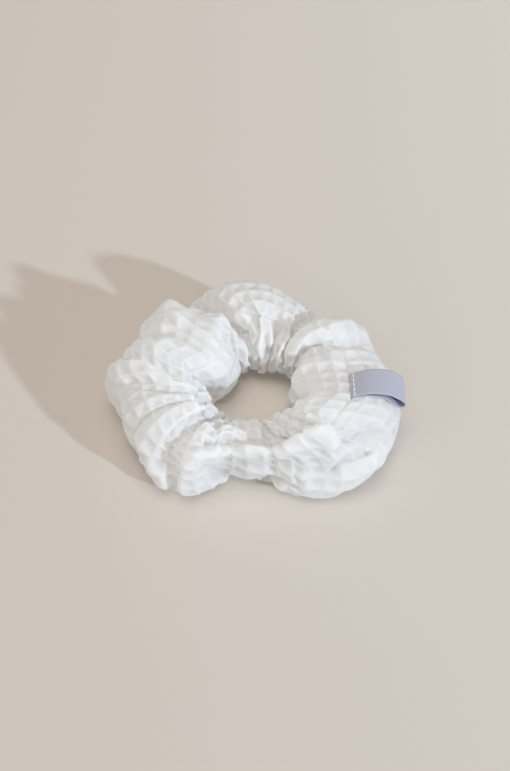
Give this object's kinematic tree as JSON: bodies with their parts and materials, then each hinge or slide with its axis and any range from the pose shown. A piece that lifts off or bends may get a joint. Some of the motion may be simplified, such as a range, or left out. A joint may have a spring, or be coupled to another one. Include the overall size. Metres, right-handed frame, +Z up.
{
  "type": "scrunchie",
  "caption": "Gathered waffle-weave fabric hair tie: a sewn tube puckered over a hidden flat elastic loop, with a folded ribbon label lying over its edge.",
  "frame": {"origin": "on the floor, under the middle of the object's bounding box", "axes": "+Z up, along the ring's axis; +X towards the label's free end; +Y away from the viewer of the picture"},
  "size_m": [0.1104, 0.0988, 0.0328],
  "materials": {
    "waffle_fabric": "matte cotton waffle weave, off-white",
    "elastic": "braided flat elastic, ivory",
    "thread": "off-white sewing thread",
    "ribbon": "woven satin ribbon, pale blue-grey"
  },
  "bodies": {
    "casing": {"casing": "waffle_fabric", "tube_seam_thread": "thread", "closing_seam_thread": "thread", "label_tack_thread": "thread"},
    "elastic": {"elastic_band": "elastic", "elastic_join_thread": "thread"},
    "label": {"label": "ribbon"}
  },
  "joints": [
    {"name": "elastic_turn", "type": "hinge", "parent": "casing", "child": "elastic", "pos_m": [0.00014, -0.005, 0.0116], "axis": [0, 0, 1], "continuous": true},
    {"name": "label_lift", "type": "hinge", "parent": "casing", "child": "label", "pos_m": [0.03474, -0.0135, 0.026], "axis": [0, -1, 0], "range_deg": [0, 100]}
  ]
}
